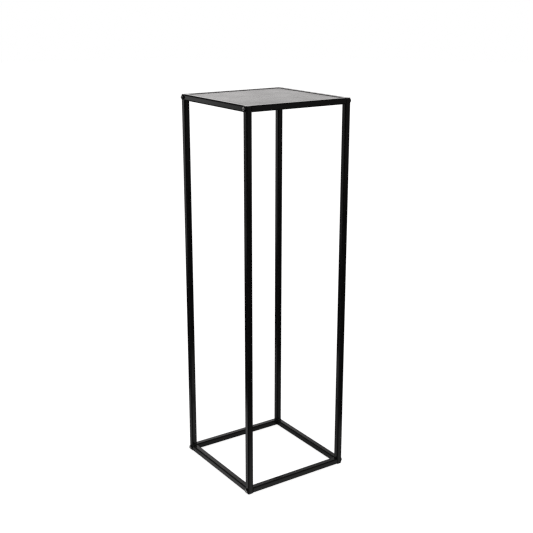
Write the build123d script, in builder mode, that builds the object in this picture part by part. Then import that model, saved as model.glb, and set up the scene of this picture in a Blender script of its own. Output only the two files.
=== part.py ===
# Display plinth: a tall square-tube steel frame with a drop-in top panel, held together by eight
# socket-head bolts. Origin on the floor under the centre of the frame, +Z up, lengths in mm.
# X runs across the front from left to right, Y runs from front to rear.

from build123d import *

import os

os.makedirs("parts", exist_ok=True)

# Frame
side = 300.0
height = 982.0
tube = 15.0
tube_wall = 1.2
tube_corner_radius = 2 * tube_wall
bore_corner_radius = tube_corner_radius - tube_wall
end_plate = 1.2

# Floor pads under the posts
pad_thickness = 1.5
pad_width = 12.0
pad_corner_radius = 2.0

# Domed furniture bolts, M6 x 28, and the threaded inserts they screw into
bolt_diameter = 5.9
bolt_length = 28.0
bolt_tip_chamfer = 0.6
head_diameter = 12.5
head_height = 4.5
head_rim = 1.1
head_flat_diameter = 6.5
head_bulge = 0.45
socket_across_flats = 4.0
socket_depth = 2.5
bolt_hole = 6.6
insert_bore = 6.0
insert_length = 14.0
insert_clearance = 0.05
insert_corner_radius = 1.3

# Top panel, a shallow tray folded from sheet and laid in upside down
panel_recess = 1.0
panel_gap = 0.8
panel_sheet = 1.2
panel_depth = 8.0
panel_corner_radius = 1.5

# Tabs that carry the panel, welded to the left and right top rails
tab_thickness = 2.0
tab_width = 25.0
tab_reach = 14.0
tab_from_center = 105.0
tab_corner_radius = 3.0
tab_clearance = 0.4

# Derived positions
half = side / 2
post_center = half - tube / 2
inner_half = half - tube
bottom = pad_thickness
bottom_rail_z = bottom + tube / 2
top_rail_z = height - tube / 2
tube_bore = tube - 2 * tube_wall
panel_top = height - panel_recess
panel_bottom = panel_top - panel_depth
panel_size = 2 * (inner_half - panel_gap)
tab_top = panel_bottom - tab_clearance
insert_width = tube_bore - 2 * insert_clearance

# Signs of the sides, the ends and the levels, with the word each one has in a name
sides = {"left": -1, "right": 1}
ends = {"front": -1, "rear": 1}
levels = {"bottom": bottom_rail_z, "top": top_rail_z}


def save(part, name):
    """Labels a finished piece and writes its file."""
    part.label = name
    export_step(part, f"parts/{name}.step")


# Posts, one full-height tube at each corner, with the bolt holes bored across them along X
for side_name, side_sign in sides.items():
    for end_name, end_sign in ends.items():
        x = side_sign * post_center
        y = end_sign * post_center
        with BuildPart() as post:
            with BuildSketch(Plane.XY.offset(bottom + end_plate)):
                with Locations((x, y)):
                    RectangleRounded(tube, tube, tube_corner_radius)
                    RectangleRounded(tube_bore, tube_bore, bore_corner_radius, mode=Mode.SUBTRACT)
            extrude(amount=height - bottom - 2 * end_plate)
            with BuildSketch(Plane.YZ.offset(x)):
                with Locations((y, bottom_rail_z), (y, top_rail_z)):
                    Circle(bolt_hole / 2)
            extrude(amount=tube, both=True, mode=Mode.SUBTRACT)
        save(post.part, f"{side_name}_{end_name}_post")

# Plates welded over both ends of every post
for side_name, side_sign in sides.items():
    for end_name, end_sign in ends.items():
        x = side_sign * post_center
        y = end_sign * post_center
        for level, z in {"bottom": bottom, "top": height - end_plate}.items():
            with BuildPart() as plate:
                with BuildSketch(Plane.XY.offset(z)):
                    with Locations((x, y)):
                        RectangleRounded(tube, tube, tube_corner_radius)
                extrude(amount=end_plate)
            save(plate.part, f"{side_name}_{end_name}_post_{level}_plate")

# Left and right rails, welded between the front and rear posts of each side frame
for side_name, side_sign in sides.items():
    for level, z in levels.items():
        with BuildPart() as side_rail:
            with BuildSketch(Plane.XZ.offset(-inner_half)):
                with Locations((side_sign * post_center, z)):
                    RectangleRounded(tube, tube, tube_corner_radius)
                    RectangleRounded(tube_bore, tube_bore, bore_corner_radius, mode=Mode.SUBTRACT)
            extrude(amount=2 * inner_half)
        save(side_rail.part, f"{side_name}_{level}_rail")

# Front and rear rails, bolted between the two side frames
for end_name, end_sign in ends.items():
    for level, z in levels.items():
        with BuildPart() as cross_rail:
            with BuildSketch(Plane.YZ.offset(-inner_half)):
                with Locations((end_sign * post_center, z)):
                    RectangleRounded(tube, tube, tube_corner_radius)
                    RectangleRounded(tube_bore, tube_bore, bore_corner_radius, mode=Mode.SUBTRACT)
            extrude(amount=2 * inner_half)
        save(cross_rail.part, f"{end_name}_{level}_rail")

# Threaded inserts, a square plug in each end of the front and rear rails
for side_name, side_sign in sides.items():
    for end_name, end_sign in ends.items():
        y = end_sign * post_center
        for level, z in levels.items():
            with BuildPart() as insert:
                with BuildSketch(Plane.YZ.offset(side_sign * inner_half)):
                    with Locations((y, z)):
                        RectangleRounded(insert_width, insert_width, insert_corner_radius)
                        Circle(insert_bore / 2, mode=Mode.SUBTRACT)
                extrude(amount=-side_sign * insert_length)
            save(insert.part, f"{end_name}_{level}_rail_{side_name}_insert")

# Bolts, driven in from the outer faces of the left and right posts
head_arc_x = (head_diameter / 2 + head_flat_diameter / 2) / 2
head_arc_z = (head_rim + head_height) / 2
for side_name, side_sign in sides.items():
    for end_name, end_sign in ends.items():
        y = end_sign * post_center
        for level, z in levels.items():
            outward = Plane(origin=(side_sign * half, y, z), x_dir=(0, 1, 0), z_dir=(side_sign, 0, 0))
            profile = Plane(origin=outward.origin, x_dir=outward.x_dir, z_dir=outward.y_dir * -1)
            with BuildPart() as bolt:
                with BuildSketch(profile):
                    with BuildLine():
                        Line((0, head_height), (0, -bolt_length))
                        Line((0, -bolt_length), (bolt_diameter / 2 - bolt_tip_chamfer, -bolt_length))
                        Line(
                            (bolt_diameter / 2 - bolt_tip_chamfer, -bolt_length),
                            (bolt_diameter / 2, -bolt_length + bolt_tip_chamfer),
                        )
                        Line((bolt_diameter / 2, -bolt_length + bolt_tip_chamfer), (bolt_diameter / 2, 0))
                        Line((bolt_diameter / 2, 0), (head_diameter / 2, 0))
                        Line((head_diameter / 2, 0), (head_diameter / 2, head_rim))
                        ThreePointArc(
                            (head_diameter / 2, head_rim),
                            (head_arc_x + head_bulge, head_arc_z + head_bulge),
                            (head_flat_diameter / 2, head_height),
                        )
                        Line((head_flat_diameter / 2, head_height), (0, head_height))
                    make_face()
                revolve(axis=Axis(outward.origin, outward.z_dir))
                with BuildSketch(outward.offset(head_height)):
                    RegularPolygon(socket_across_flats / 2, 6, major_radius=False)
                extrude(amount=-socket_depth, mode=Mode.SUBTRACT)
            save(bolt.part, f"{end_name}_{level}_{side_name}_bolt")

# Floor pads, stuck under the posts
for side_name, side_sign in sides.items():
    for end_name, end_sign in ends.items():
        with BuildPart() as pad:
            with BuildSketch(Plane.XY):
                with Locations((side_sign * post_center, end_sign * post_center)):
                    RectangleRounded(pad_width, pad_width, pad_corner_radius)
            extrude(amount=pad_thickness)
        save(pad.part, f"{side_name}_{end_name}_floor_pad")

# Panel tabs, two on the inner face of each top side rail
for side_name, side_sign in sides.items():
    for end_name, end_sign in ends.items():
        tab_x = side_sign * (inner_half - tab_reach / 2)
        tab_y = end_sign * tab_from_center
        with BuildPart() as tab:
            with BuildSketch(Plane.XY.offset(tab_top - tab_thickness)):
                with Locations((tab_x, tab_y)):
                    Rectangle(tab_reach, tab_width)
                inner_corners = [v for v in vertices() if abs(v.X) < inner_half - tab_reach / 2]
                fillet(inner_corners, radius=tab_corner_radius)
            extrude(amount=tab_thickness)
        save(tab.part, f"{side_name}_{end_name}_panel_tab")

# Top panel, a flat top with four turned-down edges
with BuildPart() as panel:
    with BuildSketch(Plane.XY.offset(panel_bottom)):
        RectangleRounded(panel_size, panel_size, panel_corner_radius)
    extrude(amount=panel_depth)
    fillet(panel.edges().group_by(Axis.Z)[-1], radius=panel_sheet)
    hollow = panel_size - 2 * panel_sheet
    with BuildSketch(Plane.XY.offset(panel_bottom)):
        RectangleRounded(hollow, hollow, bore_corner_radius)
    extrude(amount=panel_depth - panel_sheet, mode=Mode.SUBTRACT)
save(panel.part, "top_panel")
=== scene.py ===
import math

import bmesh
import bpy
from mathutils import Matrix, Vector


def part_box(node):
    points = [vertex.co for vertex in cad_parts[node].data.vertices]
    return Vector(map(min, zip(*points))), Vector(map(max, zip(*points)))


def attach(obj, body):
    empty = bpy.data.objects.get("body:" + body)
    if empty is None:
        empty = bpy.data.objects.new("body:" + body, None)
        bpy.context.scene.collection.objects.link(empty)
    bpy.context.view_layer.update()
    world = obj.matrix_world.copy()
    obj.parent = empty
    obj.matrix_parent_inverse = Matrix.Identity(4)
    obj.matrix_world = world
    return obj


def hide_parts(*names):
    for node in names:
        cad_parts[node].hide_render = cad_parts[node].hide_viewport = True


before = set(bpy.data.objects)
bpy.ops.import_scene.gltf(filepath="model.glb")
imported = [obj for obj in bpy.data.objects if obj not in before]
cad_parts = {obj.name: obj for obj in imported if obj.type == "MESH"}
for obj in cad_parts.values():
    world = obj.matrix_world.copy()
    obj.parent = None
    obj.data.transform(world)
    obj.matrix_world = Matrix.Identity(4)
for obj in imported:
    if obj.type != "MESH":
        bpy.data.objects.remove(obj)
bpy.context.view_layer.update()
scene = bpy.context.scene
MM = 0.001

# ---------------------------------------------------------------- sizes read from the frame

post_lo, post_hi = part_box("right_rear_post")
rail_lo, rail_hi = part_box("right_top_rail")
foot_lo, foot_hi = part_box("right_bottom_rail")
TUBE = post_hi.x - post_lo.x
HALF = post_hi.x
INNER = post_lo.x
TOP_RAIL_Z = (rail_lo.z, rail_hi.z)
BOTTOM_RAIL_Z = (foot_lo.z, foot_hi.z)
CORNER = 0.16 * TUBE
TUBE_CENTER = (HALF + INNER) / 2
LEVEL_MIDDLE = (rail_lo.z + rail_hi.z + foot_lo.z + foot_hi.z) / 4
LEVEL_HALF = (rail_lo.z + rail_hi.z - foot_lo.z - foot_hi.z) / 4
SIDES = {"left": -1, "right": 1}
ENDS = {"front": -1, "rear": 1}
LEVELS = {"bottom": BOTTOM_RAIL_Z, "top": TOP_RAIL_Z}


# ---------------------------------------------------------------- materials

class Nodes:
    """Short calls for building a node tree."""

    def __init__(self, tree):
        self.tree = tree
        self.tree.nodes.clear()

    def add(self, kind, **settings):
        node = self.tree.nodes.new(kind)
        for key, value in settings.items():
            setattr(node, key, value)
        return node

    def link(self, source, target):
        self.tree.links.new(source, target)

    def feed(self, socket, value):
        if isinstance(value, bpy.types.NodeSocket):
            self.link(value, socket)
        else:
            socket.default_value = value

    def math(self, operation, a, b=0.0, c=0.0, clamp=False):
        node = self.add("ShaderNodeMath", operation=operation, use_clamp=clamp)
        for socket, value in zip(node.inputs, (a, b, c)):
            self.feed(socket, value)
        return node.outputs[0]

    def noise(self, vector, scale, detail=2.0, roughness=0.5, distortion=0.0):
        node = self.add("ShaderNodeTexNoise")
        self.link(vector, node.inputs["Vector"])
        node.inputs["Scale"].default_value = scale
        node.inputs["Detail"].default_value = detail
        node.inputs["Roughness"].default_value = roughness
        node.inputs["Distortion"].default_value = distortion
        return node.outputs["Fac"]

    def voronoi(self, vector, scale, feature="F1", randomness=1.0):
        node = self.add("ShaderNodeTexVoronoi", feature=feature)
        self.link(vector, node.inputs["Vector"])
        node.inputs["Scale"].default_value = scale
        node.inputs["Randomness"].default_value = randomness
        return node.outputs["Distance"]

    def span(self, value, low, high, to_low=0.0, to_high=1.0, smooth=False):
        kind = "SMOOTHSTEP" if smooth else "LINEAR"
        node = self.add("ShaderNodeMapRange", interpolation_type=kind, clamp=True)
        for socket, number in zip(node.inputs, (value, low, high, to_low, to_high)):
            self.feed(socket, number)
        return node.outputs[0]

    def mix(self, factor, a, b):
        node = self.add("ShaderNodeMix", data_type="RGBA")
        self.feed(node.inputs[0], factor)
        self.feed(node.inputs[6], a)
        self.feed(node.inputs[7], b)
        return node.outputs[2]

    def bump(self, height, distance, strength=1.0, normal=None):
        node = self.add("ShaderNodeBump")
        node.inputs["Strength"].default_value = strength
        node.inputs["Distance"].default_value = distance
        self.link(height, node.inputs["Height"])
        if normal is not None:
            self.link(normal, node.inputs["Normal"])
        return node.outputs[0]


def off_center(n, place, axis):
    """Distance of a point from the middle of the nearest tube along one axis."""
    split = n.add("ShaderNodeSeparateXYZ")
    n.link(place, split.inputs[0])
    if axis == "z":
        level = n.math("ABSOLUTE", n.math("SUBTRACT", split.outputs[2], LEVEL_MIDDLE))
        return n.math("ABSOLUTE", n.math("SUBTRACT", level, LEVEL_HALF))
    across = n.math("ABSOLUTE", split.outputs["xy".index(axis)])
    return n.math("ABSOLUTE", n.math("SUBTRACT", across, TUBE_CENTER))


def corner_band(n, place, axes, inner, outer):
    """1 along the four rounded corners of a tube, whose section spans the two axes, and 0 on its flats."""
    near = [n.span(off_center(n, place, axis), inner, outer, smooth=True) for axis in axes]
    return n.math("MULTIPLY", near[0], near[1])


def new_material(name):
    """An empty material and a builder for its nodes."""
    material = bpy.data.materials.new(name)
    material.use_nodes = True
    return material, Nodes(material.node_tree)


def finish_principled(nodes, color, roughness, normal, metallic=0.0, ior=1.5, specular=0.5):
    shader = nodes.add("ShaderNodeBsdfPrincipled")
    nodes.feed(shader.inputs["Base Color"], color)
    nodes.feed(shader.inputs["Roughness"], roughness)
    shader.inputs["Metallic"].default_value = metallic
    shader.inputs["IOR"].default_value = ior
    shader.inputs["Specular IOR Level"].default_value = specular
    nodes.link(normal, shader.inputs["Normal"])
    output = nodes.add("ShaderNodeOutputMaterial")
    nodes.link(shader.outputs[0], output.inputs["Surface"])
    return shader


# Where a tube's corners, darkened with painted shade and made duller, and its worn ridges begin and end, as
# distances from its centre line
CORNER_SHADE_BAND = (0.50 * TUBE / 2, 0.68 * TUBE / 2)
RIDGE_BAND = (0.80 * TUBE / 2, 0.90 * TUBE / 2)
# Painted shade: near-black colour along the rounded tube corners, standing in for their dark reflections
CORNER_SHADE_COLOR = (0.0030, 0.0029, 0.0029, 1.0)
WORN_COLOR = (0.045, 0.044, 0.043, 1.0)
DUST_COLOR = (0.04, 0.039, 0.038, 1.0)


def powder_coat(name, low, high, rough_low, rough_high, peel, axes=None):
    """Black semi-gloss powder coat: orange peel, cloudy sheen, dust, rubbed marks, and tube corners that are
    duller and darkened with painted shade.
    """
    material, n = new_material(name)
    place = n.add("ShaderNodeTexCoord").outputs["Object"]
    cloud = n.noise(place, 14.0, 3.0, 0.55)
    patch = n.noise(place, 55.0, 4.0, 0.6)
    grain = n.noise(place, 900.0, 3.0, 0.6)
    orange = n.noise(place, 520.0, 1.5, 0.5)
    dust = n.span(n.voronoi(place, 420.0), 0.0, 0.16, 1.0, 0.0)
    dust = n.math("MULTIPLY", dust, n.span(n.noise(place, 90.0, 2.0), 0.56, 0.7))
    stretch = n.add("ShaderNodeMapping")
    n.link(place, stretch.inputs["Vector"])
    stretch.inputs["Rotation"].default_value = (0.5, 0.9, 0.3)
    stretch.inputs["Scale"].default_value = (60.0, 900.0, 900.0)
    rubs = n.span(n.noise(stretch.outputs[0], 1.0, 2.0, 0.6), 0.66, 0.78)
    rubs = n.math("MULTIPLY", rubs, n.span(n.noise(place, 22.0, 2.0), 0.5, 0.65))
    shade = n.math("ADD", n.math("MULTIPLY", cloud, 0.6), n.math("MULTIPLY", patch, 0.4))
    color = n.mix(n.span(shade, 0.35, 0.65), low, high)
    color = n.mix(n.math("MULTIPLY", dust, 0.25), color, DUST_COLOR)
    rough = n.span(shade, 0.3, 0.7, rough_low, rough_high)
    rough = n.math("ADD", rough, n.math("MULTIPLY", rubs, 0.05))
    rough = n.math("ADD", rough, n.math("MULTIPLY", dust, 0.12))
    rough = n.math("ADD", rough, n.math("MULTIPLY", n.math("SUBTRACT", grain, 0.5), 0.06))
    if axes is not None:
        # Painted shade along the tube corners: near-black colour, plus a rougher coat
        corner_shade_and_dull = corner_band(n, place, axes, *CORNER_SHADE_BAND)
        color = n.mix(corner_shade_and_dull, color, CORNER_SHADE_COLOR)
        rough = n.math("ADD", rough, n.math("MULTIPLY", corner_shade_and_dull, 0.66))
        ridge = corner_band(n, place, axes, *RIDGE_BAND)
        worn = n.span(n.noise(place, 240.0, 4.0, 0.65), 0.63, 0.70)
        worn = n.math("MULTIPLY", worn, n.span(n.noise(place, 16.0, 2.0), 0.48, 0.62))
        worn = n.math("MULTIPLY", worn, ridge)
        color = n.mix(worn, color, WORN_COLOR)
        rough = n.math("SUBTRACT", rough, n.math("MULTIPLY", worn, 0.18))
    normal = n.bump(orange, peel, 1.0)
    normal = n.bump(grain, peel * 0.12, 1.0, normal)
    normal = n.bump(rubs, 0.002 * MM, 1.0, normal)
    finish_principled(n, color, rough, normal)
    return material


def black_oxide(name):
    """Blackened steel, oiled and slightly uneven, with a disc of bright metal round the socket that paints in
    a highlight at the head's centre.
    """
    material, n = new_material(name)
    place = n.add("ShaderNodeTexCoord").outputs["Object"]
    mottle = n.noise(place, 700.0, 3.0, 0.6)
    fine = n.noise(place, 3200.0, 2.0, 0.6)
    from_axis = n.math("SQRT", n.math("ADD", n.math("POWER", off_center(n, place, "y"), 2.0),
                                      n.math("POWER", off_center(n, place, "z"), 2.0)))
    ragged = n.math("ADD", from_axis, n.math("MULTIPLY", n.math("SUBTRACT", mottle, 0.5), 1.2 * MM))
    # Painted highlight: a ragged disc of bright metal colour round the socket
    bright_centre_highlight = n.span(ragged, 4.3 * MM, 4.9 * MM, 1.0, 0.0, True)
    color = n.mix(n.span(mottle, 0.35, 0.65), (0.030, 0.030, 0.030, 1.0), (0.055, 0.054, 0.053, 1.0))
    color = n.mix(bright_centre_highlight, color, (0.66, 0.65, 0.645, 1.0))
    rough = n.span(mottle, 0.3, 0.7, 0.26, 0.36)
    normal = n.bump(fine, 0.004 * MM, 1.0)
    finish_principled(n, color, rough, normal, metallic=1.0)
    return material


def zinc(name):
    """Zinc plating with a faint spangle."""
    material, n = new_material(name)
    place = n.add("ShaderNodeTexCoord").outputs["Object"]
    spangle = n.voronoi(place, 500.0)
    fine = n.noise(place, 2500.0, 2.0, 0.6)
    color = n.mix(n.span(spangle, 0.0, 0.8), (0.45, 0.45, 0.47, 1.0), (0.62, 0.62, 0.63, 1.0))
    rough = n.span(fine, 0.3, 0.7, 0.30, 0.42)
    normal = n.bump(fine, 0.005 * MM, 1.0)
    finish_principled(n, color, rough, normal, metallic=1.0)
    return material


def rubber(name):
    """Matt black rubber with an uneven grain."""
    material, n = new_material(name)
    place = n.add("ShaderNodeTexCoord").outputs["Object"]
    mottle = n.noise(place, 260.0, 3.0, 0.6)
    fine = n.noise(place, 1800.0, 3.0, 0.65)
    color = n.mix(n.span(mottle, 0.35, 0.65), (0.012, 0.012, 0.012, 1.0), (0.030, 0.029, 0.028, 1.0))
    rough = n.span(fine, 0.3, 0.7, 0.62, 0.82)
    normal = n.bump(fine, 0.02 * MM, 1.0)
    finish_principled(n, color, rough, normal)
    return material


COAT_LOW = (0.0080, 0.0078, 0.0077, 1.0)
COAT_HIGH = (0.0120, 0.0117, 0.0115, 1.0)
post_coat, side_rail_coat, cross_rail_coat, coat = (
    powder_coat(name, COAT_LOW, COAT_HIGH, 0.13, 0.18, 0.004 * MM, axes)
    for name, axes in {"post_powder_coat": "xy", "side_rail_powder_coat": "xz",
                       "cross_rail_powder_coat": "yz", "weld_powder_coat": None}.items())
panel_coat = powder_coat("panel_powder_coat", (0.0080, 0.0078, 0.0076, 1.0), (0.0120, 0.0117, 0.0114, 1.0),
                         0.19, 0.25, 0.005 * MM)
oxide = black_oxide("bolt_black_oxide")
plating = zinc("insert_zinc")
pad_rubber = rubber("pad_rubber")


def dress(node, material):
    """Gives a node its one material."""
    slots = node.data.materials
    slots.clear()
    slots.append(material)


for name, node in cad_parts.items():
    if name == "top_panel":
        dress(node, panel_coat)
    elif name.endswith("_insert"):
        dress(node, plating)
    elif name.endswith("_pad"):
        dress(node, pad_rubber)
    elif name.endswith(("_post", "_plate")):
        dress(node, post_coat)
    elif name.endswith("_rail"):
        dress(node, side_rail_coat if name.startswith(tuple(SIDES)) else cross_rail_coat)
    elif name.endswith("_tab"):
        dress(node, coat)


# ---------------------------------------------------------------- mesh helpers

def piece_from(mesh_maker, name, material, body, smooth_angle=35.0):
    mesh = bpy.data.meshes.new(name)
    bm = bmesh.new()
    mesh_maker(bm)
    bmesh.ops.recalc_face_normals(bm, faces=bm.faces)
    bm.to_mesh(mesh)
    bm.free()
    mesh.materials.append(material)
    for polygon in mesh.polygons:
        polygon.use_smooth = True
    mesh.set_sharp_from_angle(angle=math.radians(smooth_angle))
    piece = bpy.data.objects.new(name, mesh)
    scene.collection.objects.link(piece)
    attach(piece, body)
    return piece


def bridge(bm, rings, closed=True):
    """Faces between each ring of vertices and the next."""
    for first, second in zip(rings, rings[1:]):
        count = len(first)
        last = count if closed else count - 1
        for i in range(last):
            j = (i + 1) % count
            bm.faces.new((first[i], first[j], second[j], second[i]))


# ---------------------------------------------------------------- bolts

SEGMENTS = 48
SOCKET_FLATS = 4.0 * MM
SOCKET_DEPTH = 2.5 * MM
SOCKET_EDGE = 0.06 * MM
SOCKET_CONE = 0.5 * MM
SOCKET_FLOOR_SHARES = (0.55, 0.2)


def hex_radius(angle, across_flats):
    """Distance from the centre to a hexagon's edge in the direction of angle."""
    sixth = math.pi / 3
    local = (angle + sixth / 2) % sixth - sixth / 2
    return across_flats / 2 / math.cos(local)


def bolt_outline(head_radius, head_height, length):
    """Radius and height of each turned ring of a domed bolt, from the shank's tip to the flat on the head."""
    shank = 0.472 * head_radius
    tip = 0.6 * MM
    seat = 0.12 * MM
    rim = 0.25 * head_height
    flat = 0.52 * head_radius
    outline = [(shank - tip, -length + 0.1 * tip), (shank, -length + tip), (shank, -seat)]
    outline += [(head_radius - 2 * seat, 0.2 * seat), (head_radius - 0.4 * seat, seat)]
    outline += [(head_radius, 2.2 * seat), (head_radius, rim - 2 * seat), (head_radius - 0.3 * seat, rim)]
    steps = 14
    for i in range(1, steps + 1):
        share = i / steps
        bulge = 0.11 * head_height * math.sin(math.pi * share)
        outline.append((head_radius + (flat - head_radius) * share + bulge,
                        rim + (head_height - seat / 2 - rim) * share + bulge * (1 - share)))
    outline.append((flat - 2 * seat, head_height))
    return [(r, min(h, head_height)) for r, h in outline]


def bolt_maker(center, outward, head_radius, head_height, length):
    """A domed socket-head bolt. Rings of points run from the shank's tip, over the head, into the socket."""
    def make(bm):
        def place(radius, angle, height):
            return Vector((center.x + outward * height,
                           center.y + radius * math.cos(angle),
                           center.z + radius * math.sin(angle)))

        angles = [2 * math.pi * i / SEGMENTS for i in range(SEGMENTS)]
        rings = []
        for radius, height in bolt_outline(head_radius, head_height, length):
            rings.append([bm.verts.new(place(radius, a, height)) for a in angles])
        wall = SOCKET_EDGE
        floor_height = head_height - SOCKET_DEPTH
        edge_rings = ((3 * wall, head_height), (wall, head_height - wall), (0.0, head_height - 3 * wall),
                      (0.0, floor_height + 2 * wall), (-2 * wall, floor_height))
        for extra, height in edge_rings:
            rings.append([bm.verts.new(place(hex_radius(a, SOCKET_FLATS) + extra, a, height))
                          for a in angles])
        for share in SOCKET_FLOOR_SHARES:
            height = floor_height - (1 - share) * SOCKET_CONE
            rings.append([bm.verts.new(place(hex_radius(a, SOCKET_FLATS) * share, a, height))
                          for a in angles])
        bridge(bm, rings)
        bm.faces.new(rings[0])
        bm.faces.new(rings[-1])

    return make


for side, side_sign in SIDES.items():
    for end, end_sign in ENDS.items():
        for level in LEVELS:
            node = f"{end}_{level}_{side}_bolt"
            lo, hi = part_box(node)
            center = Vector((side_sign * HALF, (lo.y + hi.y) / 2, (lo.z + hi.z) / 2))
            tip, crown = (lo.x, hi.x) if side_sign > 0 else (-hi.x, -lo.x)
            bolt = piece_from(bolt_maker(center, side_sign, (hi.z - lo.z) / 2, crown - HALF, HALF - tip),
                              node + "_detail", oxide, "frame")
            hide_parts(node)


# ---------------------------------------------------------------- welds

BEAD_ROOT = 0.0003
BEAD_LEG = 2.3 * MM
TAB_BEAD_LEG = 1.0 * MM
TAB_BEAD_LENGTH = 17 * MM


def bead_maker(corner, along, out_a, out_b, length, leg, seed):
    """A small rippled fillet bead, lying in the corner between the faces that face out_a and out_b."""
    def make(bm):
        count = max(8, int(length / (0.4 * MM)))
        across = 7
        rings = []
        for i in range(count + 1):
            t = i / count
            end_fade = min(1.0, (min(t, 1 - t) * length / (1.2 * MM)) ** 0.5) if 0 < t < 1 else 0.0
            ripple = 1 + 0.07 * math.sin(2 * math.pi * t * length / (1.5 * MM) + seed)
            drift = 1 + 0.08 * math.sin(2.3 * math.pi * t + seed * 1.7)
            reach = leg * (0.12 + 0.88 * end_fade) * ripple * drift
            base = corner + along * ((t - 0.5) * length)
            ring = [bm.verts.new(base - out_a * BEAD_ROOT - out_b * BEAD_ROOT)]
            for k in range(across):
                angle = math.pi / 2 * k / (across - 1)
                bulge = reach * (0.80 + 0.16 * math.sin(2 * angle))
                flat = reach / (abs(math.cos(angle)) + abs(math.sin(angle)))
                radius = 0.5 * bulge + 0.5 * flat
                offset = out_a * (radius * math.cos(angle)) + out_b * (radius * math.sin(angle))
                ring.append(bm.verts.new(base + offset))
            rings.append(ring)
        bridge(bm, rings)
        bm.faces.new(rings[0])
        bm.faces.new(rings[-1])

    return make


def seam_maker(side_sign, end_sign, face_sign, low, high):
    """Ground-flush weld metal in the notch between a post's rounded edge and the end of a side rail."""
    def make(bm):
        face_x = side_sign * (HALF if face_sign > 0 else INNER)
        inward = -side_sign * face_sign
        seam_y = end_sign * INNER
        count = 24
        rings = []
        for i in range(count + 1):
            t = i / count
            z = low + (high - low) * t
            edge = min(t, 1 - t) * (high - low)
            sink = CORNER - math.sqrt(max(0.0, CORNER ** 2 - max(0.0, CORNER - edge) ** 2))
            wave = 0.02 * MM * math.sin(9.0 * t * math.pi + side_sign + 2 * end_sign)
            face = face_x + inward * (sink + wave - 0.015 * MM)
            deep = face_x + inward * (CORNER + 0.1 * MM)
            wide = CORNER * 1.15
            points = [(face + inward * 0.03 * MM, seam_y + end_sign * wide),
                      (face, seam_y + end_sign * wide * 0.6),
                      (face - inward * 0.02 * MM, seam_y + end_sign * wide * 0.2),
                      (face + inward * 0.03 * MM, seam_y - end_sign * 0.35 * MM),
                      (deep, seam_y - end_sign * 0.05 * MM),
                      (deep, seam_y + end_sign * 0.3 * MM)]
            rings.append([bm.verts.new((x, y, z)) for x, y in points])
        bridge(bm, rings)
        bm.faces.new(rings[0])
        bm.faces.new(rings[-1])

    return make


for side, side_sign in SIDES.items():
    for end, end_sign in ENDS.items():
        for level, (low, high) in LEVELS.items():
            stem = f"{side}_{end}_{level}"
            for face_name, face_sign in {"outer": 1, "inner": -1}.items():
                seam = piece_from(seam_maker(side_sign, end_sign, face_sign, low, high),
                                  f"{stem}_{face_name}_ground_weld", coat, "frame", 50.0)
            up = 1 if level == "bottom" else -1
            face_z = high if level == "bottom" else low
            corner = Vector((side_sign * (HALF + INNER) / 2, end_sign * INNER, face_z))
            bead = piece_from(
                bead_maker(corner, Vector((1, 0, 0)), Vector((0, -end_sign, 0)), Vector((0, 0, up)),
                           TUBE - 2.2 * MM, BEAD_LEG, side_sign + 2 * end_sign + 3 * up),
                f"{stem}_fillet_weld", coat, "frame", 60.0)
        tab_lo, tab_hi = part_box(f"{side}_{end}_panel_tab")
        corner = Vector((side_sign * INNER, (tab_lo.y + tab_hi.y) / 2, tab_lo.z))
        bead = piece_from(
            bead_maker(corner, Vector((0, 1, 0)), Vector((-side_sign, 0, 0)), Vector((0, 0, -1)),
                       TAB_BEAD_LENGTH, TAB_BEAD_LEG, side_sign - end_sign),
            f"{side}_{end}_tab_weld", coat, "frame", 60.0)


# ---------------------------------------------------------------- camera

def aim(location, azimuth, pitch):
    """A camera that looks azimuth to the right of +Y and pitch below the horizon, both in radians."""
    camera_data = bpy.data.cameras.new("camera")
    camera = bpy.data.objects.new("camera", camera_data)
    scene.collection.objects.link(camera)
    camera.location = location
    camera.rotation_euler = (math.pi / 2 - pitch, 0.0, -azimuth)
    scene.camera = camera
    return camera


CAMERA_PLACE = (-1.305, -1.937, 1.246)
CAMERA_AZIMUTH = 0.5921
CAMERA_PITCH = 0.2864
camera = aim(CAMERA_PLACE, CAMERA_AZIMUTH, CAMERA_PITCH)
camera.data.sensor_width = 36.0
camera.data.lens = 63.64
camera.data.shift_x = 0.0049
camera.data.shift_y = -0.010
camera.data.clip_start = 0.05
camera.data.clip_end = 100.0

# ---------------------------------------------------------------- floor, studio and light

VIEW_AXIS = Vector((0.5618, 0.8273, 0.0))
SIDE_AXIS = Vector((0.8273, -0.5618, 0.0))


def stage_disc(name, radius, height, rings=24, segments=96):
    mesh = bpy.data.meshes.new(name)
    bm = bmesh.new()
    loops = []
    for i in range(1, rings + 1):
        r = radius * (i / rings) ** 2
        loops.append([bm.verts.new((r * math.cos(2 * math.pi * k / segments),
                                    r * math.sin(2 * math.pi * k / segments), height))
                      for k in range(segments)])
    bridge(bm, loops)
    bm.faces.new(loops[0])
    bmesh.ops.recalc_face_normals(bm, faces=bm.faces)
    bm.to_mesh(mesh)
    bm.free()
    disc = bpy.data.objects.new(name, mesh)
    scene.collection.objects.link(disc)
    return disc


def only_reflected(piece):
    """Leaves a stage piece visible in reflections and nowhere else."""
    piece.visible_camera = False
    piece.visible_diffuse = False
    piece.visible_transmission = False
    piece.visible_volume_scatter = False
    piece.visible_shadow = False


def axis_value(n, axis):
    """How far the shaded point lies along a level axis through the origin, in metres."""
    geometry = n.add("ShaderNodeNewGeometry")
    dot = n.add("ShaderNodeVectorMath", operation="DOT_PRODUCT")
    n.link(geometry.outputs["Position"], dot.inputs[0])
    dot.inputs[1].default_value = axis
    return dot.outputs["Value"]


def height_value(n):
    split = n.add("ShaderNodeSeparateXYZ")
    n.link(n.add("ShaderNodeNewGeometry").outputs["Position"], split.inputs[0])
    return split.outputs[2]


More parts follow.
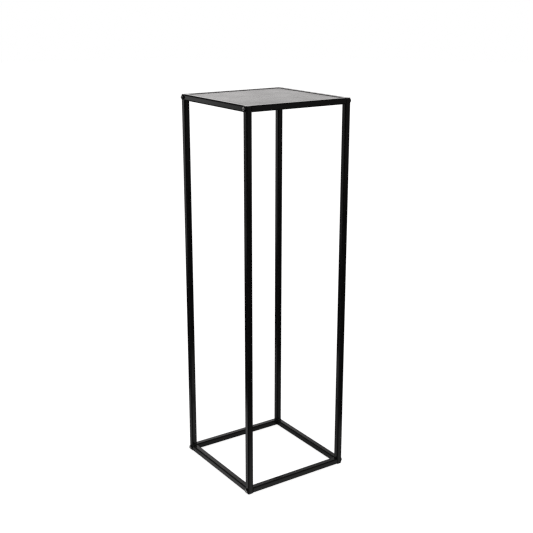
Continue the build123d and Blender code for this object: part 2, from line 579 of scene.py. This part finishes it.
def glow(n, strength, color):
    emission = n.add("ShaderNodeEmission")
    emission.inputs["Color"].default_value = (*color, 1.0)
    n.feed(emission.inputs["Strength"], strength)
    n.link(emission.outputs[0], n.add("ShaderNodeOutputMaterial").inputs["Surface"])


def unsampled(material):
    """Its light is found by the glossy rays alone, which leaves less noise."""
    material.cycles.emission_sampling = "NONE"


FLOOR_RADIUS = 14.0
FLOOR_HEIGHT = -0.0004
PAPER_GLOW = 0.86
floor = stage_disc("floor", FLOOR_RADIUS, FLOOR_HEIGHT)
floor.visible_glossy = False
floor.visible_diffuse = False
floor_paint, n = new_material("floor_paint")
grain = n.noise(n.add("ShaderNodeTexCoord").outputs["Object"], 3.0, 3.0)
tone = n.mix(n.span(grain, 0.3, 0.7), (0.90, 0.90, 0.90, 1.0), (0.92, 0.92, 0.92, 1.0))
matte = n.add("ShaderNodeBsdfDiffuse")
n.link(tone, matte.inputs["Color"])
lit_paper = n.add("ShaderNodeEmission")
lit_paper.inputs["Strength"].default_value = PAPER_GLOW
both = n.add("ShaderNodeAddShader")
n.link(matte.outputs[0], both.inputs[0])
n.link(lit_paper.outputs[0], both.inputs[1])
n.link(both.outputs[0], n.add("ShaderNodeOutputMaterial").inputs["Surface"])
unsampled(floor_paint)
floor.data.materials.append(floor_paint)

WARM = (1.0, 0.980, 0.976)
NEUTRAL = (1.0, 1.0, 1.0)

# Reflected only: pale paper under the plinth, dimmer inside it with the plinth's shade painted in, a dark
# floor on both sides, light far left
GROUND_RADIUS = 4.0
GROUND_HEIGHT = -0.001
ground = stage_disc("studio_floor", GROUND_RADIUS, GROUND_HEIGHT)
only_reflected(ground)
PAPER_LEFT_EDGE = (-0.62, -0.50)
PAPER_RIGHT_EDGE = (0.50, 0.38)
PAPER_ACROSS = (-0.5, 0.2, 0.62, 0.30)
PAPER_FRONT_EDGE = (-0.42, -0.22, 0.0, 1.0)
PAPER_INSIDE_SHADE = (-0.06, 0.04, 1.0, 0.5)
FAR_LEFT_EDGE = (-1.4, -2.6)
FAR_LEFT_RISE = (0.40, 1.10, 0.05, 0.50)
ground_paint, n = new_material("studio_floor_light")
side = axis_value(n, SIDE_AXIS)
ahead = axis_value(n, VIEW_AXIS)
paper = n.math("MULTIPLY", n.span(side, *PAPER_LEFT_EDGE, smooth=True),
               n.span(side, *PAPER_RIGHT_EDGE, smooth=True))
paper = n.math("MULTIPLY", paper, n.span(side, *PAPER_ACROSS))
paper = n.math("MULTIPLY", paper, n.span(ahead, *PAPER_FRONT_EDGE, smooth=True))
# Painted shade: the reflected paper is dimmer inside the plinth
paper = n.math("MULTIPLY", paper, n.span(ahead, *PAPER_INSIDE_SHADE, smooth=True))
far_left = n.math("MULTIPLY", n.span(side, *FAR_LEFT_EDGE, smooth=True), n.span(ahead, *FAR_LEFT_RISE))
glow(n, n.math("ADD", paper, far_left), NEUTRAL)
unsampled(ground_paint)
ground.data.materials.append(ground_paint)


def studio_sheet(name, rows):
    """A reflected-only sheet through rows of points."""
    mesh = bpy.data.meshes.new(name)
    bm = bmesh.new()
    bridge(bm, [[bm.verts.new(point) for point in row] for row in rows], closed=False)
    bm.to_mesh(mesh)
    bm.free()
    sheet = bpy.data.objects.new(name, mesh)
    scene.collection.objects.link(sheet)
    only_reflected(sheet)
    return sheet


# Each span is the two places it runs between, then its two strengths if they aren't 0 and 1
WALL_RADIUS = 4.0
WALL_HEIGHT = 6.0
BEHIND_EDGE = (0.6, 2.2)
LOW_DIM = (0.2, 0.9, 0.5, 1.0)
LEFT_FALL = (1.55, 2.0, 1.0, 0.52)
TOP_FALL = (3.0, 4.5, 1.0, 0.05)
RIGHT_FALL = (1.55, 2.0, 1.0, 0.20)
LEFT_TO_RIGHT = (-0.9, 0.5)
WALL_ACROSS = (-1.5, 1.0, 1.38, 1.10)
BAND_FOOT = (1.2, 1.5)
BAND_HEAD = (2.4, 2.0)
BAND_GLOW = 0.5
RIGHT_FILL = (1.0, 3.0, 0.01, 0.09)
around = [2 * math.pi * i / 128 for i in range(129)]
wall_rows = [[(WALL_RADIUS * math.cos(a), WALL_RADIUS * math.sin(a), WALL_HEIGHT * row / 12) for a in around]
             for row in range(13)]
wall = studio_sheet("studio_wall", wall_rows)
wall_paint, n = new_material("studio_wall_light")
side = axis_value(n, SIDE_AXIS)
ahead = axis_value(n, VIEW_AXIS)
up = height_value(n)
behind = n.span(ahead, *BEHIND_EDGE, smooth=True)
low_part = n.span(up, *LOW_DIM, smooth=True)
left_fall = n.math("MULTIPLY", n.span(up, *LEFT_FALL, smooth=True), n.span(up, *TOP_FALL, smooth=True))
right_fall = n.span(up, *RIGHT_FALL, smooth=True)
toward_right = n.span(side, *LEFT_TO_RIGHT, smooth=True)
fall = n.math("ADD", n.math("MULTIPLY", left_fall, n.math("SUBTRACT", 1.0, toward_right)),
              n.math("MULTIPLY", right_fall, toward_right))
level = n.math("MULTIPLY", n.math("MULTIPLY", behind, low_part), fall)
level = n.math("MULTIPLY", level, n.span(side, *WALL_ACROSS))
band = n.math("MULTIPLY", n.span(up, *BAND_FOOT, smooth=True), n.span(up, *BAND_HEAD, smooth=True))
elsewhere = n.math("MULTIPLY", n.math("SUBTRACT", 1.0, behind), n.math("MULTIPLY", band, BAND_GLOW))
elsewhere = n.math("ADD", elsewhere, n.span(side, *RIGHT_FILL, smooth=True))
glow(n, n.math("ADD", level, elsewhere), WARM)
unsampled(wall_paint)
wall.data.materials.append(wall_paint)

SCREEN_SIDE = -2.5
SCREEN_RISE = (0.60, 1.15, 0.0, 0.47)
SCREEN_LOW_DIM = (0.0, 0.35, 0.55, 1.0)
SCREEN_HIGH_LIFT = (0.45, 0.75, 1.0, 1.45)
SCREEN_START = 0.3
SCREEN_STEP = 0.1
SCREEN_HEIGHTS = (0.0, 0.5, 1.0, 1.5, 2.0)
screen_rows = [[SIDE_AXIS * SCREEN_SIDE + VIEW_AXIS * (SCREEN_START + SCREEN_STEP * i) + Vector((0, 0, z))
                for i in range(29)] for z in SCREEN_HEIGHTS]
screen = studio_sheet("studio_screen", screen_rows)
screen_paint, n = new_material("studio_screen_light")
ahead = axis_value(n, VIEW_AXIS)
up = height_value(n)
level = n.span(ahead, *SCREEN_RISE)
level = n.math("MULTIPLY", level, n.span(up, *SCREEN_LOW_DIM))
level = n.math("MULTIPLY", level, n.span(up, *SCREEN_HIGH_LIFT, smooth=True))
glow(n, level, NEUTRAL)
unsampled(screen_paint)
screen.data.materials.append(screen_paint)

OVERHEAD = (0.93, 0.985, 0.01, 0.7)
AMBIENT = (0.30, 0.30, 0.30, 1.0)
BACKDROP = (1.0, 1.0, 1.0, 1.0)
PIXEL_FILTER = 1.3
world = bpy.data.worlds.new("studio")
scene.world = world
world.use_nodes = True
n = Nodes(world.node_tree)
path = n.add("ShaderNodeLightPath")
split = n.add("ShaderNodeSeparateXYZ")
n.link(n.add("ShaderNodeTexCoord").outputs["Generated"], split.inputs[0])
overhead = n.span(split.outputs[2], *OVERHEAD, smooth=True)
strength = n.mix(path.outputs["Is Glossy Ray"], AMBIENT, overhead)
strength = n.mix(path.outputs["Is Camera Ray"], strength, BACKDROP)
background = n.add("ShaderNodeBackground")
n.link(strength, background.inputs["Color"])
n.link(background.outputs[0], n.add("ShaderNodeOutputWorld").inputs["Surface"])
world.cycles.sampling_method = "NONE"
scene.cycles.filter_width = PIXEL_FILTER

scene.view_settings.view_transform = "Standard"
scene.view_settings.look = "None"
